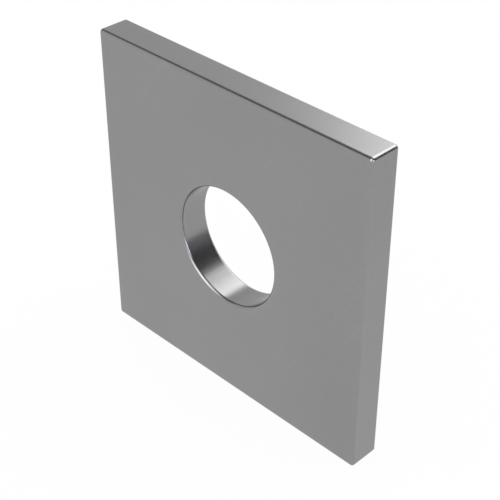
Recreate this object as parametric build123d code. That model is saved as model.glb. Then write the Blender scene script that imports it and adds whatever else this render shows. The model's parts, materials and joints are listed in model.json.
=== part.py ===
from build123d import *

import os

# A square plate washer: one flat square of steel with a round bolt hole through its middle.
# It stands on its lower edge, with its front face towards -Y and the hole's axis along Y.
# The origin is the hole's centre, halfway through the plate. All sizes are in millimetres.

# Plate
SIDE = 30.0  # length of each side of the square
THICKNESS = 3.0  # from the front face to the back face
EDGE_RADIUS = 0.3  # rounding of the outer edges, which meet in a ball at each corner

# Bolt hole
BOLT_DIAMETER = 10.0  # shank of the bolt that passes through
BOLT_CLEARANCE = 1.0  # how much wider the hole is than the shank
RIM_RADIUS = 0.3  # rounding of the hole's rim on each face


def through_plate(outline):
    """An outline drawn on the middle plane, carried out to the front and the back face."""
    return extrude(Plane.XZ * outline, amount=THICKNESS / 2, both=True)


def tumbled_blank():
    """The square cut from flat bar, with all its edges and corners rounded by tumbling."""
    blank = through_plate(Rectangle(SIDE, SIDE))
    return fillet(blank.edges(), EDGE_RADIUS)


def bored(blank):
    """The blank with the bolt hole through its middle and both of the hole's rims rounded."""
    hole = through_plate(Circle((BOLT_DIAMETER + BOLT_CLEARANCE) / 2))
    plate = blank - hole
    widest_circles = plate.edges().filter_by(GeomType.CIRCLE).group_by(SortBy.RADIUS)[-1]
    return fillet(widest_circles, RIM_RADIUS)


os.makedirs("parts", exist_ok=True)
export_step(bored(tumbled_blank()), "parts/square_washer.step")
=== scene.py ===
"""A square plate washer in satin steel, standing on its lower edge in a small photo studio.

Everything is in metres, in the washer's own frame: its hole runs along Y, its front face looks
towards -Y, and the origin is the middle of the hole, halfway through the plate.
"""

import json
import math

import bmesh
import bpy
from bpy.props import FloatProperty, FloatVectorProperty, IntProperty, PointerProperty
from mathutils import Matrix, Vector


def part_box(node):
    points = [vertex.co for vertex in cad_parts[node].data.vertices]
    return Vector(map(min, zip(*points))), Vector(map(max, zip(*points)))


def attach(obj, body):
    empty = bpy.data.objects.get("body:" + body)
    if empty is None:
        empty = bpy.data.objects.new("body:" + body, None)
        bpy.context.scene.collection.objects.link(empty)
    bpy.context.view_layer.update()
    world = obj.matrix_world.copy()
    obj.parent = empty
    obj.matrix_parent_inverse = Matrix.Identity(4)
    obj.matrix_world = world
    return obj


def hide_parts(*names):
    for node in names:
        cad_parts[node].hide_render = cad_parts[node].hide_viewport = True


bl_info = {
    "name": "Square Plate Washer",
    "version": (1, 0, 0),
    "blender": (4, 5, 0),
    "location": "3D View > Sidebar > Washer",
    "description": "Models a square plate washer in satin steel, with the studio it stands in",
    "category": "Add Mesh",
}

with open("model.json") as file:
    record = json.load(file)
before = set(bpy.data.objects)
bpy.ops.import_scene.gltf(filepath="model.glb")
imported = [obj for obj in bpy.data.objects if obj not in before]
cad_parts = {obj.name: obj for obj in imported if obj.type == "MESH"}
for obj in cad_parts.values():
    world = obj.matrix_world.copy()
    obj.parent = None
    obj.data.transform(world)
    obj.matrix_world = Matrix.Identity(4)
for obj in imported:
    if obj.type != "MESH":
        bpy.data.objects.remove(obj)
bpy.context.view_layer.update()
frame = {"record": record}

WASHER_NODE = "square_washer"
STEEL_SLOT = "satin_steel"
MM = 0.001

# Modelling
SAME_LENGTH = 0.001 * MM  # two lengths that differ by less are taken as equal
MERGE_DISTANCE = 0.0001 * MM
LAND_WIDTH = 3  # width of the even ring of faces round the hole, in roundings
CIRCULAR = 0.5  # the bevel profile that is an arc of a circle

# Patterns in the steel: the size of a spot, or the width of a line and its length in widths
CLOUD = 9 * MM
SPOT = 0.5 * MM
TUMBLED_GRAIN = 0.16 * MM
ROLLING_LINE, ROLLING_LENGTH = 0.22 * MM, 40
SHEARING_LINE, SHEARING_LENGTH = 0.18 * MM, 25
HAIRLINE_LENGTH = 50  # in distances apart
HAIRLINE_SETS = ((28, 2.2 * MM), (-57, 3.1 * MM))  # direction in degrees, and rough distance apart
HAIRLINE_WIDTH = 0.02  # a hairline is where its noise is this near to zero
HAIRLINES_IN_FULL = 0.25  # value of the clouds from which they show in full, from not at all at zero

# What the patterns change in the steel
POLISHED_WIDTH = 3  # how far the polish reaches from an edge, in roundings
CLOUD_TONE = 0.6  # share of the clouds in the mottling
FINE_SHARE = 0.5  # share of the spots and of the streaks
POLISHED_TONE = 0.03  # how much brighter worn edges are
HAIRLINE_TONE = 0.05  # how much brighter hairlines are
BLUR_VARIATION = 0.015  # how far the roughness varies
POLISHED_BLUR = 0.05  # how much less rough worn edges are

# Directions in the studio, in degrees: from the front round to either side, or up from the horizon
CEILING_FROM, CEILING_SOFTNESS = 37, 3
BACK_WALL_FROM, BACK_WALL_TO = 98, 142
BACK_WALL_DIMS_FROM, BACK_WALL_DIMS_TO = 24, 38
LEFT_FLAG_FROM, LEFT_SOFTNESS = 92.5, 1.4
RIGHT_FLAG_FROM, RIGHT_SOFTNESS = 44, 7
RIGHT_FLAG_DARKEST = 35  # height where it is darkest
GLOW_HEIGHT = 10  # height where the bluish strip is brightest

# Brightness and tint of what the steel mirrors, where 1 is white
BACK_WALL_LOW, BACK_WALL_HIGH = 0.97, 0.59
BACK_WALL_SIDE_SHARE, BACK_WALL_BACK_SHARE = 0.76, 1.14
RIGHT_FLAG_LOW, RIGHT_FLAG_HIGH = 0.15, 0.06
GLOW_TINT = (-0.08, -0.04, 0.12)

# Paper floor, then the painted pool of light and painted shadow that the steel mirrors on it: how far
# from the washer they reach, and by how much its brightness changes
FLOOR_SIZE = 1.3
FLOOR_GAP = 0.005 * MM  # keeps the paper apart from the plate's lower face
PAPER_COLOUR = (0.97, 0.97, 0.97, 1)
PAPER_NEAR, PAPER_FAR = 20 * MM, 45 * MM
# Painted light: the mirrored paper is brighter round the washer, with a painted shadow in front of its
# right half
PAINTED_POOL_FRONT_LEFT, PAINTED_SHADOW_FRONT_RIGHT, PAINTED_POOL_BACK_RIGHT = 0.03, -0.03, 0.05
PAPER_FRONT_EDGE, PAPER_FRONT_SOFTNESS = -1 * MM, 1 * MM
PAPER_RIGHT_EDGE, PAPER_RIGHT_SOFTNESS = 10 * MM, 5 * MM

# Camera
SENSOR_WIDTH = 36  # in millimetres, as its lens is
CAMERA_AIM = Vector((1.402, 0, -0.230)) * MM
TOWARDS_CAMERA = Vector((1, -1, 1)).normalized()
CLIP_START, CLIP_END = 0.01, 20


def bore_size(name):
    """One size of the bolt hole's mount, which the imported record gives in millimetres."""
    mount = next(m for m in frame["record"]["mounts"] if m["name"] == "bolt_hole")
    return mount["dims"][name] * MM


def slot_colour(slot):
    """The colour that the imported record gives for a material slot."""
    return next(m for m in frame["record"]["materials"] if m["slot"] == slot)["base_color"]


plate_low, plate_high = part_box(WASHER_NODE)
PLATE_SIDE = plate_high.x - plate_low.x
PLATE_THICKNESS = plate_high.y - plate_low.y
HOLE_RADIUS = bore_size("r_mm")
ROUNDING = (PLATE_THICKNESS - bore_size("length_mm")) / 2


class WasherSizes(bpy.types.PropertyGroup):
    """The washer's own sizes."""

    side: FloatProperty(
        name="Side", description="Length of each side of the square",
        default=PLATE_SIDE, min=0.001, unit="LENGTH",
    )
    thickness: FloatProperty(
        name="Thickness", description="From the front face to the back face",
        default=PLATE_THICKNESS, min=0.0005, unit="LENGTH",
    )
    hole_radius: FloatProperty(
        name="Hole Radius", description="Radius of the bolt hole's wall",
        default=HOLE_RADIUS, min=0.0005, unit="LENGTH",
    )
    rounding: FloatProperty(
        name="Rounding", description="Radius of the twelve outer edges and of the hole's two rims",
        default=ROUNDING, min=0.00001, unit="LENGTH",
    )
    steps_per_side: IntProperty(
        name="Steps per Side", description="Strips along each side; the hole has four times as many",
        default=48, min=2,
    )
    rounding_steps: IntProperty(
        name="Rounding Steps", description="Strips across each rounded edge",
        default=8, min=1,
    )


class SteelFinish(bpy.types.PropertyGroup):
    """Colour and surface of the steel."""

    colour: FloatVectorProperty(
        name="Colour", description="Colour of the bare steel",
        default=slot_colour(STEEL_SLOT), min=0, max=1, subtype="COLOR",
    )
    edge_tint: FloatProperty(
        name="Edge Tint",
        description="How bright the steel mirrors at a glancing angle, where 1 is clean metal",
        default=0.80, min=0, max=1, subtype="FACTOR",
    )
    roughness: FloatProperty(
        name="Roughness", description="How far the satin surface blurs what it mirrors",
        default=0.25, min=0, max=1, subtype="FACTOR",
    )
    mottling: FloatProperty(
        name="Mottling", description="How far the colour varies from place to place",
        default=0.05, min=0, max=1, subtype="FACTOR",
    )
    wear: FloatProperty(
        name="Wear", description="How much the tumbling has polished the edges and rims",
        default=0.5, min=0, max=1, subtype="FACTOR",
    )
    relief: FloatProperty(
        name="Relief", description="Depth of the grain and of the lines that rolling and shearing leave",
        default=0.5e-6, min=0, unit="LENGTH",
    )


class StudioSettings(bpy.types.PropertyGroup):
    """Floor, light and camera."""

    sky: FloatProperty(
        name="Sky", description="Brightness of the surroundings on the matt floor, where 1 is white",
        default=1.0, min=0,
    )
    softbox: FloatProperty(
        name="Softbox", description="Brightness of the tall softbox behind the washer, halfway up",
        default=3.35, min=0,
    )
    front_light: FloatProperty(
        name="Front Light", description="Brightness of the soft light high in front",
        default=5.4, min=0,
    )
    side_light: FloatProperty(
        name="Side Light", description="Brightness of the low light on the right",
        default=4.6, min=0,
    )
    walls: FloatProperty(
        name="Walls", description="Brightness of the pale walls in front, where 1 is white",
        default=0.925, min=0,
    )
    ceiling: FloatProperty(
        name="Ceiling", description="Brightness of the dark ceiling between the softboxes",
        default=0.19, min=0,
    )
    left_flag: FloatProperty(
        name="Left Flag", description="Brightness of the narrow dark flag on the left",
        default=0.06, min=0,
    )
    right_glow: FloatProperty(
        name="Right Glow", description="Brightness of the faint bluish strip low on the dark right side",
        default=0.22, min=0,
    )
    paper_glow: FloatProperty(
        name="Paper Glow", description="How much of the floor's white is its own, and shows no shadow",
        default=0.95, min=0, max=1, subtype="FACTOR",
    )
    mirrored_paper: FloatProperty(
        name="Mirrored Paper",
        description="Brightness of the over-lit paper in the steel, where 1 is white",
        default=1.02, min=0,
    )
    lens: FloatProperty(
        name="Lens", description="Focal length of the camera in millimetres, on a 36 mm sensor",
        default=89.25, min=1, unit="CAMERA",
    )
    distance: FloatProperty(
        name="Distance", description="From the camera to the plate's middle plane",
        default=103.85 * MM, min=0.01, unit="LENGTH",
    )


def deselect_all():
    """Leaves object mode with nothing selected and nothing active."""
    if bpy.context.object and bpy.context.object.mode != "OBJECT":
        bpy.ops.object.mode_set(mode="OBJECT")
    bpy.ops.object.select_all(action="DESELECT")
    bpy.context.view_layer.objects.active = None


def pick(mesh, kind, test):
    """In edit mode, selects exactly the faces or the edges that pass the test."""
    bpy.ops.mesh.select_mode(type=kind)
    bpy.ops.mesh.select_all(action="DESELECT")
    shape = bmesh.from_edit_mesh(mesh)
    for part in shape.faces if kind == "FACE" else shape.edges:
        part.select = test(part)
    shape.select_flush_mode()
    bmesh.update_edit_mesh(mesh)


def round_off(sizes):
    """In edit mode, rounds the selected edges."""
    bpy.ops.mesh.bevel(
        offset_type="OFFSET", offset=sizes.rounding, segments=sizes.rounding_steps,
        profile=CIRCULAR, affect="EDGES", clamp_overlap=False,
    )


def is_near(value, target):
    """True if two lengths are equal, but for rounding errors."""
    return abs(value - target) < SAME_LENGTH


def from_axis(point):
    """How far a point is from the hole's axis."""
    return math.hypot(point.x, point.z)


def limited(value, limit):
    """The value, kept between minus and plus the limit."""
    return max(-limit, min(limit, value))


class WASHER_OT_plate(bpy.types.Operator):
    """Model the washer: a rounded square block, opened at both faces and bored through"""

    bl_idname = "washer.plate"
    bl_label = "Washer Plate"
    bl_options = {"REGISTER", "UNDO"}

    def execute(self, context):
        sizes = context.scene.washer_sizes
        plate = self.rounded_block(sizes)
        mesh = plate.data
        bpy.ops.object.mode_set(mode="EDIT")
        self.open_faces(mesh, sizes)
        for face_y in (-sizes.thickness / 2, sizes.thickness / 2):
            self.face_with_hole(mesh, sizes, face_y)
        self.line_bore(mesh, sizes)
        self.round_rims(mesh, sizes)
        self.check_closed(mesh)
        bpy.ops.object.mode_set(mode="OBJECT")
        self.smooth(mesh, sizes)
        mesh.materials.append(satin_steel(context.scene.steel_finish, sizes))
        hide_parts(WASHER_NODE)
        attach(plate, "root")
        return {"FINISHED"}

    def rounded_block(self, sizes):
        """A solid block with all twelve edges rounded, before it is bored."""
        deselect_all()
        bpy.ops.mesh.primitive_cube_add(size=1, scale=(sizes.side, sizes.thickness, sizes.side))
        plate = bpy.context.object
        plate.name = "washer_plate"
        plate.data.name = "washer_plate"
        bpy.ops.object.transform_apply(location=True, rotation=True, scale=True)
        bpy.ops.object.mode_set(mode="EDIT")
        bpy.ops.mesh.select_all(action="SELECT")
        round_off(sizes)
        bpy.ops.object.mode_set(mode="OBJECT")
        return plate

    def open_faces(self, mesh, sizes):
        """Takes the two square faces away and cuts what runs along the sides into strips."""
        def is_square_face(face):
            return len(face.verts) == 4 and face.calc_area() > (sizes.side / 2) ** 2

        pick(mesh, "FACE", is_square_face)
        bpy.ops.mesh.delete(type="ONLY_FACE")

        def runs_along_side(edge):
            return edge.calc_length() > sizes.side / 2

        pick(mesh, "EDGE", runs_along_side)
        bpy.ops.mesh.subdivide(number_cuts=sizes.steps_per_side - 1)

    def face_with_hole(self, mesh, sizes, face_y):
        """A flat face from the square opening to the hole, with an even ring of faces round the hole."""
        bpy.ops.mesh.select_all(action="DESELECT")
        bpy.ops.mesh.primitive_circle_add(
            vertices=4 * sizes.steps_per_side, radius=sizes.hole_radius, fill_type="NOTHING",
            location=(0, face_y, 0), rotation=(math.copysign(math.pi / 2, face_y), 0, 0),
        )
        bpy.ops.mesh.select_mode(type="EDGE")
        bpy.ops.mesh.extrude_edges_move()
        spread = 1 + LAND_WIDTH * sizes.rounding / sizes.hole_radius
        bpy.ops.transform.resize(value=(spread, spread, spread), center_override=(0, face_y, 0))

        def is_open_outside_hole(edge):
            on_face = all(is_near(vertex.co.y, face_y) for vertex in edge.verts)
            on_hole = is_near(from_axis(edge.verts[0].co), sizes.hole_radius)
            return edge.is_boundary and on_face and not on_hole

        pick(mesh, "EDGE", is_open_outside_hole)
        bpy.ops.mesh.bridge_edge_loops()

    def pick_rims(self, mesh, sizes):
        """Selects the two circles where the hole meets the faces."""
        def is_on_rim(edge):
            start, end = (vertex.co for vertex in edge.verts)
            on_hole = all(is_near(from_axis(point), sizes.hole_radius) for point in (start, end))
            return on_hole and is_near(start.y, end.y)

        pick(mesh, "EDGE", is_on_rim)

    def line_bore(self, mesh, sizes):
        """Closes the shell with the hole's wall, from the front rim to the back rim."""
        self.pick_rims(mesh, sizes)
        bpy.ops.mesh.bridge_edge_loops()
        bpy.ops.mesh.select_all(action="SELECT")
        bpy.ops.mesh.remove_doubles(threshold=MERGE_DISTANCE)
        bpy.ops.mesh.normals_make_consistent(inside=False)

    def round_rims(self, mesh, sizes):
        """Rounds the two rims where the hole's wall meets the faces."""
        self.pick_rims(mesh, sizes)
        round_off(sizes)

    def check_closed(self, mesh):
        """Stops with an error where the sizes leave the plate's surface open."""
        shape = bmesh.from_edit_mesh(mesh)
        if not all(edge.is_manifold for edge in shape.edges):
            raise RuntimeError("The plate isn't closed: its hole and roundings don't fit in its sides")

    def smooth(self, mesh, sizes):
        """Smooth shading with exact normals: each one points away from the plate's sharp inner core."""
        bpy.ops.object.shade_smooth()
        half_side = sizes.side / 2 - sizes.rounding
        half_thickness = sizes.thickness / 2 - sizes.rounding
        core_hole = sizes.hole_radius + sizes.rounding
        normals = []
        for vertex in mesh.vertices:
            x, y, z = vertex.co
            core = Vector((limited(x, half_side), limited(y, half_thickness), limited(z, half_side)))
            if from_axis(core) < core_hole:
                outwards = core_hole / from_axis(core)
                core.x *= outwards
                core.z *= outwards
            normals.append((vertex.co - core).normalized())
        mesh.normals_split_custom_set_from_vertices(normals)


class Wire:
    """A node's output that plain maths is written on: each sign adds the Math node for it."""

    def __init__(self, recipe, socket):
        self.recipe = recipe
        self.socket = socket

    def __add__(self, other):
        return self.recipe.maths("ADD", self, other)

    def __radd__(self, other):
        return self.recipe.maths("ADD", other, self)

    def __sub__(self, other):
        return self.recipe.maths("SUBTRACT", self, other)

    def __rsub__(self, other):
        return self.recipe.maths("SUBTRACT", other, self)

    def __mul__(self, other):
        return self.recipe.maths("MULTIPLY", self, other)

    def __rmul__(self, other):
        return self.recipe.maths("MULTIPLY", other, self)

    def __truediv__(self, other):
        return self.recipe.maths("DIVIDE", self, other)

    def __abs__(self):
        return self.recipe.maths("ABSOLUTE", self)


class Recipe:
    """The nodes of one material or of the world, added one by one."""

    def __init__(self, owner):
        owner.use_nodes = True
        self.tree = owner.node_tree
        self.tree.nodes.clear()

    def node(self, kind, settings=None, inputs=None):
        """Adds a node, sets its settings first, then gives its sockets their values or links."""
        node = self.tree.nodes.new(kind)
        for name, value in (settings or {}).items():
            setattr(node, name, value)
        for name, value in (inputs or {}).items():
            if isinstance(value, Wire):
                self.tree.links.new(value.socket, node.inputs[name])
            else:
                node.inputs[name].default_value = value
        return node

    def wire(self, kind, settings=None, inputs=None, output=0):
        """The same, for a node of which only one output is used."""
        return Wire(self, self.node(kind, settings, inputs).outputs[output])

    def maths(self, operation, *values, clamp=False):
        """One Math node on values or wires."""
        settings = {"operation": operation, "use_clamp": clamp}
        return self.wire("ShaderNodeMath", settings, dict(enumerate(values)))

    def vector_maths(self, operation, *values, output=0):
        """One Vector Math node on vectors or wires."""
        settings = {"operation": operation}
        return self.wire("ShaderNodeVectorMath", settings, dict(enumerate(values)), output)

    def parts(self, vector):
        """The X, Y and Z of a vector."""
        node = self.node("ShaderNodeSeparateXYZ", None, {"Vector": vector})
        return [Wire(self, socket) for socket in node.outputs]

    def length(self, vector):
        """The length of a vector."""
        return self.vector_maths("LENGTH", vector, output="Value")

    def along(self, vector, axis):
        """How far a vector goes along an axis."""
        return self.vector_maths("DOT_PRODUCT", vector, axis, output="Value")

    def fade(self, value, start, end, low=0.0, high=1.0):
        """Goes evenly from the low to the high number while the value goes from start to end."""
        return self.wire("ShaderNodeMapRange", None, {
            "Value": value, "From Min": start, "From Max": end, "To Min": low, "To Max": high,
        })

    def above(self, value, edge, softness):
        """1 above an edge and 0 below it, with a soft border on both sides of it."""
        return self.fade(value, edge - softness, edge + softness)

    def cover(self, under, over, mask):
        """The second value where the mask is 1, over the first where it is 0."""
        return under + (over - under) * mask

    def noise(self, place, grain, stretch=(1, 1, 1), turn=0.0, detail=2.0):
        """Noise between -1 and 1 in spots as large as the grain, stretched, then turned round Y."""
        cells = self.wire("ShaderNodeMapping", {"vector_type": "TEXTURE"}, {
            "Vector": place, "Rotation": (0, turn, 0), "Scale": [grain * times for times in stretch],
        })
        sockets = {"Vector": cells, "Scale": 1.0, "Detail": detail}
        return self.wire("ShaderNodeTexNoise", None, sockets) * 2 - 1


def satin_steel(finish, sizes):
    """Steel that was rolled, sheared, pierced and tumbled: satin, with slightly polished edges."""
    material = bpy.data.materials.new("satin_steel")
    recipe = Recipe(material)
    place = recipe.wire("ShaderNodeTexCoord", output="Object")
    depths = depths_under_surfaces(recipe, place, sizes)
    reach = POLISHED_WIDTH * sizes.rounding
    touching = [recipe.fade(depth, 0, reach, low=1.0, high=0.0) for depth in depths]
    # At an edge or a rim two surfaces meet, so there their masks add up to more than 1.
    edges = recipe.maths("SUBTRACT", sum(touching[1:], touching[0]), 1, clamp=True)
    behind_face = recipe.fade(depths[0], 0, sizes.rounding)

    clouds = recipe.noise(place, CLOUD)
    spots = recipe.noise(place, SPOT, detail=4.0)
    grain = recipe.noise(place, TUMBLED_GRAIN)
    rolling = recipe.noise(place, ROLLING_LINE, stretch=(ROLLING_LENGTH, 1, 1))
    shearing = recipe.noise(place, SHEARING_LINE, stretch=(1, SHEARING_LENGTH, 1))
    streaks = recipe.cover(rolling, shearing, behind_face)
    scratches = hairlines(recipe, place, clouds)
    fine = (spots + streaks) * FINE_SHARE
    worn = edges * finish.wear * (spots * FINE_SHARE + 1)

    patches = (clouds * CLOUD_TONE + fine) * finish.mottling
    tone = 1 + patches + worn * POLISHED_TONE + scratches * HAIRLINE_TONE
    colour = recipe.wire("ShaderNodeVectorMath", {"operation": "SCALE"}, {
        "Vector": finish.colour, "Scale": tone,
    })
    # The denoiser takes steel rougher than about 0.27 for another surface, and would draw marks there.
    roughness = finish.roughness + (clouds + fine) * BLUR_VARIATION - worn * POLISHED_BLUR
    relief = recipe.wire("ShaderNodeBump", None, {
        "Height": (grain + streaks) * (1 - worn) - scratches, "Distance": finish.relief,
    })
    shader = recipe.wire("ShaderNodeBsdfPrincipled", None, {
        "Base Color": colour, "Metallic": 1.0, "Roughness": roughness, "Normal": relief,
        "Specular Tint": (finish.edge_tint, finish.edge_tint, finish.edge_tint, 1),
    })
    recipe.node("ShaderNodeOutputMaterial", None, {"Surface": shader})
    return material


def depths_under_surfaces(recipe, place, sizes):
    """How deep a place is under the two faces, the four edges, in pairs, and the hole's wall."""
    x, y, z = recipe.parts(place)
    beside_axis = recipe.vector_maths("MULTIPLY", place, (1, 0, 1))
    return (
        sizes.thickness / 2 - abs(y),
        sizes.side / 2 - abs(x),
        sizes.side / 2 - abs(z),
        recipe.length(beside_axis) - sizes.hole_radius,
    )


def hairlines(recipe, place, clouds):
    """Sparse hairline scratches that run in two directions over the plate."""
    lines = []
    for direction, apart in HAIRLINE_SETS:
        stretch = (HAIRLINE_LENGTH, HAIRLINE_LENGTH, 1)
        wander = recipe.noise(place, apart, stretch, turn=math.radians(direction), detail=0.0)
        lines.append(recipe.fade(abs(wander), 0, HAIRLINE_WIDTH, low=1.0, high=0.0))
    return sum(lines[1:], lines[0]) * recipe.fade(clouds, 0, HAIRLINES_IN_FULL)


def light_path(recipe):
    """Masks of the rays that see a thing directly or through glass, and of the mirrored ones."""
    outputs = recipe.node("ShaderNodeLightPath").outputs
    kinds = ("Is Camera Ray", "Is Transmission Ray", "Is Glossy Ray")
    camera, glass, mirrored = (Wire(recipe, outputs[kind]) for kind in kinds)
    return recipe.maths("ADD", camera, glass, clamp=True), mirrored


class Softbox:
    """A flat light 1 m from the washer that faces it, painted in the surroundings.

    Its azimuth, elevation and own turn are in degrees. Its left and right borders, its lower and upper
    ones and the softness of each pair are in metres from its middle. Its brightness changes upwards by
    a share per metre, the growth, and is as given at the even height.
    """

    EVEN_HEIGHT = 0.8
    AHEAD, AHEAD_SOFTNESS = 0.05, 0.01  # how far towards it a ray has to point to reach it

    def __init__(self, azimuth, elevation, turn, across, upward, softness, brightness, growth=0.0):
        azimuth, elevation, turn = (math.radians(angle) for angle in (azimuth, elevation, turn))
        level = math.cos(elevation)
        towards = Vector((math.sin(azimuth) * level, -math.cos(azimuth) * level, math.sin(elevation)))
        right = Vector((math.cos(azimuth), math.sin(azimuth), 0))
        above = towards.cross(right)
        self.towards = towards
        self.right = right * math.cos(turn) + above * math.sin(turn)
        self.above = above * math.cos(turn) - right * math.sin(turn)
        self.borders = (across, upward)
        self.softness = softness
        self.brightness = brightness
        self.growth = growth

    def laid_over(self, surroundings, recipe, ray):
        """The brightness in the ray's direction, with this softbox in front of the surroundings."""
        ahead = recipe.along(ray, self.towards)
        mask = recipe.above(ahead, self.AHEAD, self.AHEAD_SOFTNESS)
        reaches = [recipe.along(ray, axis) / ahead for axis in (self.right, self.above)]
        for reach, (low, high), softness in zip(reaches, self.borders, self.softness):
            mask = mask * recipe.above(reach, low, softness)
            mask = mask * (1 - recipe.above(reach, high, softness))
        brightness = self.brightness
        if self.growth:
            height = reaches[1]
            brightness = ((height - self.EVEN_HEIGHT) * self.growth + 1) * brightness
        return recipe.cover(surroundings, brightness, mask)


class WASHER_OT_studio(bpy.types.Operator):
    """Set up the pale floor, the soft light and the camera"""

    bl_idname = "washer.studio"
    bl_label = "Washer Studio"
    bl_options = {"REGISTER", "UNDO"}

    def execute(self, context):
        settings = context.scene.studio_settings
        self.surroundings(context.scene, settings)
        self.floor(settings)
        self.camera(context.scene, settings)
        context.scene.view_settings.view_transform = "Standard"
        return {"FINISHED"}

    def surroundings(self, scene, settings):
        """White to the camera and to matt surfaces, while the steel mirrors the studio."""
        world = bpy.data.worlds.new("studio_surroundings")
        scene.world = world
        # A light sample isn't a mirrored ray, so it would show the steel plain white for the studio.
        world.cycles.sampling_method = "NONE"
        recipe = Recipe(world)
        seen, mirrored = light_path(recipe)
        colour, brightness = self.mirrored_studio(recipe, settings)
        strength = recipe.cover(settings.sky, brightness, mirrored)
        strength = recipe.cover(strength, 1.0, seen)
        colour = recipe.vector_maths("MULTIPLY_ADD", colour, mirrored, 1 - mirrored)
        light = recipe.wire("ShaderNodeBackground", None, {"Color": colour, "Strength": strength})
        recipe.node("ShaderNodeOutputWorld", None, {"Surface": light})

    def mirrored_studio(self, recipe, settings):
        """Colour and brightness of the studio: pale walls, a dark ceiling, two dark flags, softboxes."""
        ray = recipe.wire("ShaderNodeTexCoord", output="Generated")
        x, y, z = recipe.parts(ray)
        elevation = recipe.maths("ARCSINE", z) * math.degrees(1)
        to_right = recipe.maths("ARCTAN2", x, y * -1) * math.degrees(1)
        to_left = to_right * -1
        overhead = recipe.above(elevation, CEILING_FROM, CEILING_SOFTNESS)
        brightness = recipe.cover(settings.walls, settings.ceiling, overhead)

        wall = recipe.fade(
            elevation, BACK_WALL_DIMS_FROM, BACK_WALL_DIMS_TO, BACK_WALL_LOW, BACK_WALL_HIGH,
        )
        wall = wall * recipe.fade(
            to_left, BACK_WALL_FROM, BACK_WALL_TO, BACK_WALL_SIDE_SHARE, BACK_WALL_BACK_SHARE,
        )
        behind_left = recipe.above(to_left, BACK_WALL_FROM, LEFT_SOFTNESS)
        brightness = recipe.cover(brightness, wall, behind_left)
        left_flag = recipe.above(to_left, LEFT_FLAG_FROM, LEFT_SOFTNESS) - behind_left
        brightness = recipe.cover(brightness, settings.left_flag, left_flag)

        right_flag = recipe.above(to_right, RIGHT_FLAG_FROM, RIGHT_SOFTNESS)
        glow = recipe.fade(elevation, 0, GLOW_HEIGHT)
        glow = glow - recipe.fade(elevation, GLOW_HEIGHT, 2 * GLOW_HEIGHT)
        dark = recipe.fade(elevation, 0, RIGHT_FLAG_DARKEST, RIGHT_FLAG_LOW, RIGHT_FLAG_HIGH)
        brightness = recipe.cover(brightness, dark + glow * settings.right_glow, right_flag)
        colour = recipe.vector_maths("MULTIPLY_ADD", glow * right_flag, GLOW_TINT, (1, 1, 1))

        for softbox in self.softboxes(settings):
            brightness = softbox.laid_over(brightness, recipe, ray)
        return colour, brightness

    def softboxes(self, settings):
        """A low light on the right, a soft one high in front and a tall one behind the washer."""
        return (
            Softbox(
                azimuth=92, elevation=0, turn=0, across=(-0.5, 0.2), upward=(0, 0.47),
                softness=(0.02, 0.02), brightness=settings.side_light,
            ),
            Softbox(
                azimuth=11.5, elevation=38, turn=-89, across=(-0.7, 0.7), upward=(-0.275, 0.275),
                softness=(0.5, 0.5), brightness=settings.front_light,
            ),
            Softbox(
                azimuth=187.5, elevation=0, turn=-4, across=(-0.765, 0.56), upward=(-0.5, 1.45),
                softness=(0.05, 0.3), brightness=settings.softbox, growth=0.9,
            ),
        )

    def floor(self, settings):
        """A sheet of white paper that keeps the washer's shadow, and is clear from below."""
        deselect_all()
        bpy.ops.mesh.primitive_plane_add(size=FLOOR_SIZE, location=(0, 0, plate_low.z - FLOOR_GAP))
        floor = bpy.context.object
        floor.name = "studio_floor"
        material = bpy.data.materials.new("white_floor")
        # Light samples are left out for the same reason as in the surroundings.
        material.cycles.emission_sampling = "NONE"
        recipe = Recipe(material)
        seen, mirrored = light_path(recipe)
        paper = recipe.wire("ShaderNodeBsdfDiffuse", None, {"Color": PAPER_COLOUR})
        in_steel = self.paper_in_steel_with_painted_light(recipe, settings)
        glow = recipe.wire("ShaderNodeEmission", None, {
            "Color": (1, 1, 1, 1), "Strength": recipe.cover(1.0, in_steel, mirrored),
        })
        share = (seen + mirrored) * settings.paper_glow
        from_above = recipe.wire("ShaderNodeMixShader", None, {0: share, 1: paper, 2: glow})
        clear = recipe.wire("ShaderNodeBsdfTransparent")
        below = recipe.wire("ShaderNodeNewGeometry", output="Backfacing")
        mixed = recipe.wire("ShaderNodeMixShader", None, {0: below, 1: from_above, 2: clear})
        recipe.node("ShaderNodeOutputMaterial", None, {"Surface": mixed})
        floor.data.materials.append(material)

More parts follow.
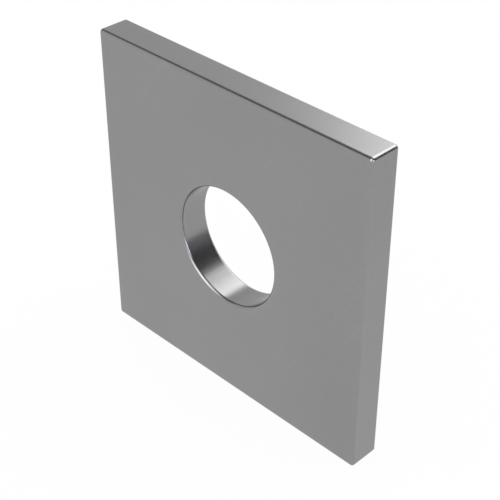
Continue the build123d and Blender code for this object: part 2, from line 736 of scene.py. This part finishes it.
    def paper_in_steel_with_painted_light(self, recipe, settings):
        """How bright the steel mirrors the paper, with a painted pool of light close to the washer and a
        painted shadow in front of its right half.
        """
        place = recipe.wire("ShaderNodeTexCoord", output="Object")
        x, y, _ = recipe.parts(place)
        nearness = recipe.fade(recipe.length(place), PAPER_NEAR, PAPER_FAR, low=1.0, high=0.0)
        # Painted light: the paper is brighter near the washer, and a painted shadow darkens it in front
        # of its right half
        in_front = 1 - recipe.above(y, PAPER_FRONT_EDGE, PAPER_FRONT_SOFTNESS)
        on_right = recipe.above(x - y, PAPER_RIGHT_EDGE, PAPER_RIGHT_SOFTNESS)
        front = recipe.cover(PAINTED_POOL_FRONT_LEFT, PAINTED_SHADOW_FRONT_RIGHT, on_right)
        painted_pool_and_shadow = recipe.cover(on_right * PAINTED_POOL_BACK_RIGHT, front, in_front)
        return nearness * painted_pool_and_shadow + settings.mirrored_paper

    def camera(self, scene, settings):
        """Looks at the washer from the right front and above, along a cube's diagonal."""
        deselect_all()
        bpy.ops.object.camera_add()
        camera = bpy.context.object
        camera.name = "camera"
        camera.data.lens = settings.lens
        camera.data.sensor_width = SENSOR_WIDTH
        camera.data.clip_start = CLIP_START
        camera.data.clip_end = CLIP_END
        camera.location = CAMERA_AIM + TOWARDS_CAMERA * settings.distance
        camera.rotation_mode = "QUATERNION"
        camera.rotation_quaternion = (-TOWARDS_CAMERA).to_track_quat("-Z", "Y")
        scene.camera = camera


class WASHER_PT_panel(bpy.types.Panel):
    """Lists what this add-on can make, each with the sizes and colours that it takes"""

    bl_idname = "WASHER_PT_panel"
    bl_label = "Square Plate Washer"
    bl_space_type = "VIEW_3D"
    bl_region_type = "UI"
    bl_category = "Washer"

    def draw(self, context):
        scene = context.scene
        for operator, groups in (
            (WASHER_OT_plate, (scene.washer_sizes, scene.steel_finish)),
            (WASHER_OT_studio, (scene.studio_settings,)),
        ):
            box = self.layout.box()
            box.operator(operator.bl_idname)
            for group in groups:
                for name in type(group).__annotations__:
                    box.prop(group, name)


CLASSES = (
    WasherSizes, SteelFinish, StudioSettings, WASHER_OT_plate, WASHER_OT_studio, WASHER_PT_panel,
)


def register():
    for cls in CLASSES:
        bpy.utils.register_class(cls)
    bpy.types.Scene.washer_sizes = PointerProperty(type=WasherSizes)
    bpy.types.Scene.steel_finish = PointerProperty(type=SteelFinish)
    bpy.types.Scene.studio_settings = PointerProperty(type=StudioSettings)


def unregister():
    del bpy.types.Scene.studio_settings
    del bpy.types.Scene.steel_finish
    del bpy.types.Scene.washer_sizes
    for cls in reversed(CLASSES):
        bpy.utils.unregister_class(cls)


def main():
    """Makes the washer and its studio."""
    register()
    bpy.ops.washer.plate()
    bpy.ops.washer.studio()


if __name__ == "__main__":
    main()
